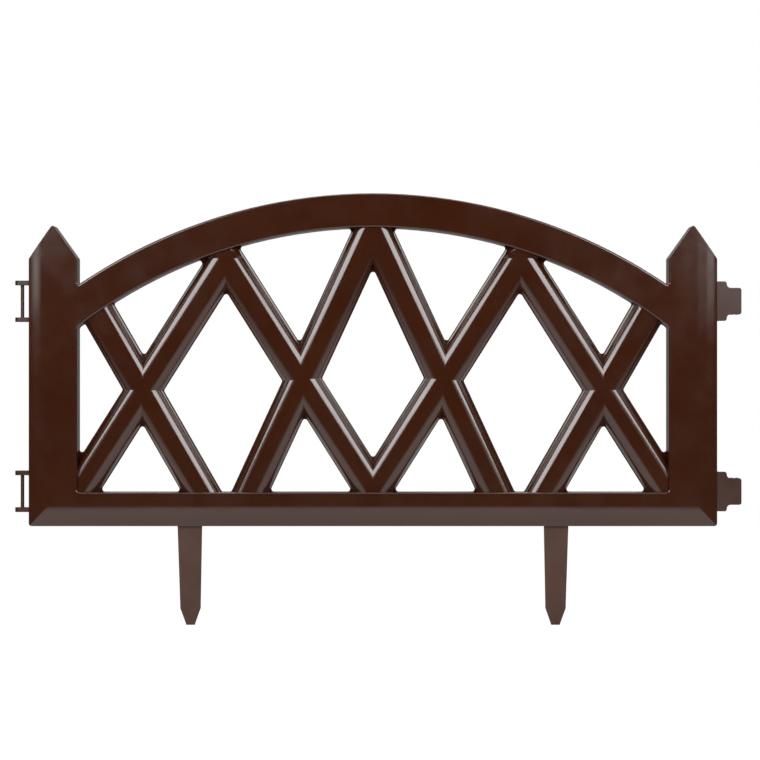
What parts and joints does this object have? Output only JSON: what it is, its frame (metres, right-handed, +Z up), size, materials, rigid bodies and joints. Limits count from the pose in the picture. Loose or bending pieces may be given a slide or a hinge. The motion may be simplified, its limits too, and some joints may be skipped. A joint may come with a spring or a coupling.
{
  "type": "garden edging fence section",
  "caption": "Arched plastic garden edging section with a lattice, pin and hook couplings at its ends and ground spikes.",
  "frame": {"origin": "underside of the bottom rail, at the middle of its length and of the frame's depth", "axes": "+X along the fence towards the snap hooks, +Y towards the open back, +Z up"},
  "size_m": [0.6103, 0.016, 0.363],
  "materials": {
    "moulding": "glossy dark brown moulded plastic",
    "spikes": "the same brown with a duller face"
  },
  "bodies": {
    "root": {"left_post": "moulding", "right_post": "moulding", "arch_rail": "moulding", "bottom_rail": "moulding", "lattice": "moulding", "upper_pin_bracket": "moulding", "lower_pin_bracket": "moulding", "upper_hook": "moulding", "lower_hook": "moulding", "left_stake": "spikes", "right_stake": "spikes"}
  },
  "joints": []
}
